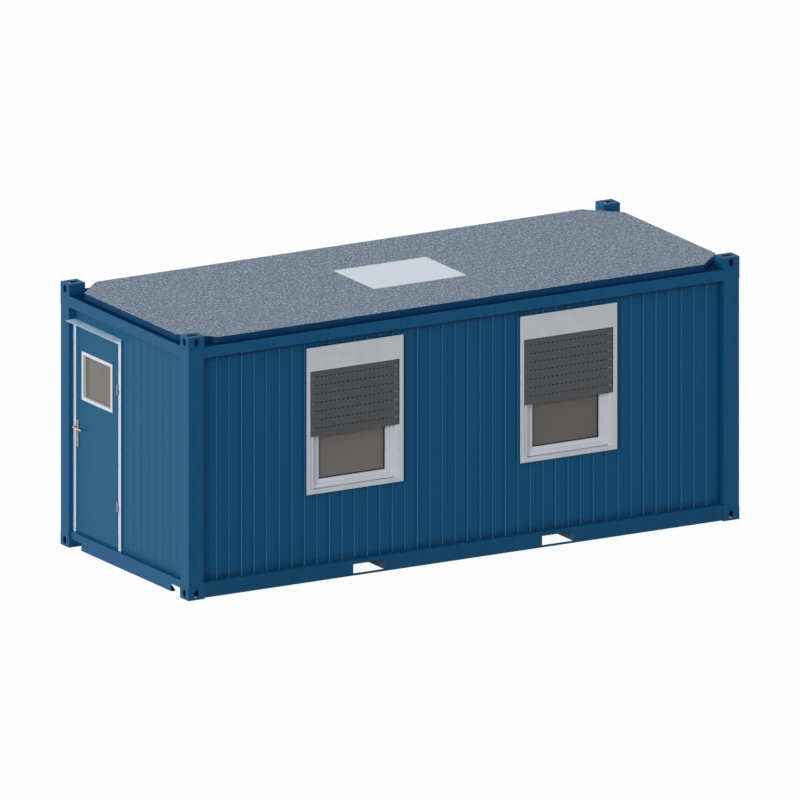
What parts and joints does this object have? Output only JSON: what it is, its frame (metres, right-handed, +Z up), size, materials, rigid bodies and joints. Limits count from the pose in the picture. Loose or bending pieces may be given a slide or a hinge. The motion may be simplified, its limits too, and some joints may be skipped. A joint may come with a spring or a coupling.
{
  "type": "shipping container cabin",
  "caption": "Steel-framed container cabin with corner castings, fork pockets, insulated ribbed walls, a glazed end door and windows with roller shutters in one long side.",
  "frame": {"origin": "on the ground, in the middle of the footprint over the corner castings", "axes": "+X along the length, away from the door end; the windows face -Y; +Z up"},
  "size_m": [6.085, 2.435, 2.591],
  "materials": {
    "blue_frame_end": "semi-gloss coach enamel",
    "blue_frame_dark": "semi-gloss coach enamel",
    "blue_panel": "coil-coated sheet, satin",
    "galvanised": "hot-dip galvanised",
    "roof_sheet": "spangled aluminium-zinc sheet",
    "roof_edge": "satin",
    "floor_board": "vinyl-faced board",
    "ceiling_board": "white laminated board",
    "white_frame": "powder coat",
    "white_pvc": "rigid PVC, satin",
    "shutter_slats": "extruded slats, matt",
    "window_glass": "clear float",
    "handle_metal": "satin",
    "hinge_metal": "zinc plated"
  },
  "bodies": {
    "cabin": {"bottom_castings": "blue_frame_end", "top_castings": "blue_frame_end", "corner_posts": "blue_frame_end", "floor_side_rails": "blue_frame_dark", "floor_end_rails": "blue_frame_end", "fork_pockets": "blue_frame_dark", "floor_cross_members": "galvanised", "floor_board": "floor_board", "roof_side_rails": "blue_frame_end", "roof_end_rails": "blue_frame_end", "ceiling": "ceiling_board", "roof_curb": "roof_edge", "roof_deck": "roof_sheet", "roof_corner_plates": "blue_frame_end", "back_wall": "blue_panel", "far_end_wall": "blue_panel", "door_wall_side": "blue_panel", "door_wall_head": "blue_panel", "window_wall_panels": "blue_panel", "window_wall_below": "blue_panel", "window_wall_above": "blue_panel", "door_frame": "white_frame", "door_threshold": "blue_frame_dark", "door_canopy": "white_frame", "door_hinges_frame": "hinge_metal", "left_window_cover": "white_frame", "left_window_shutter": "shutter_slats", "left_window_guides": "white_frame", "left_window_frame": "white_pvc", "left_window_sash": "white_pvc", "left_window_glass": "window_glass", "right_window_cover": "white_frame", "right_window_shutter": "shutter_slats", "right_window_guides": "white_frame", "right_window_frame": "white_pvc", "right_window_sash": "white_pvc", "right_window_glass": "window_glass"},
    "door": {"door_leaf": "blue_panel", "door_light_trim": "white_pvc", "door_glass": "window_glass", "door_handle_plates": "handle_metal", "door_hinges_leaf": "hinge_metal"},
    "lever": {"door_lever": "handle_metal"}
  },
  "joints": [
    {"name": "door_swing", "type": "hinge", "parent": "cabin", "child": "door", "pos_m": [-2.9865, 0.20925, 0.16], "axis": [0, 0, 1], "range_deg": [0, 110]},
    {"name": "lever_turn", "type": "hinge", "parent": "door", "child": "lever", "pos_m": [-2.9735, 0.975, 1.21], "axis": [1, 0, 0], "range_deg": [0, 40], "stiffness_Nm_per_rad": 1, "springref_deg": -68.75}
  ]
}
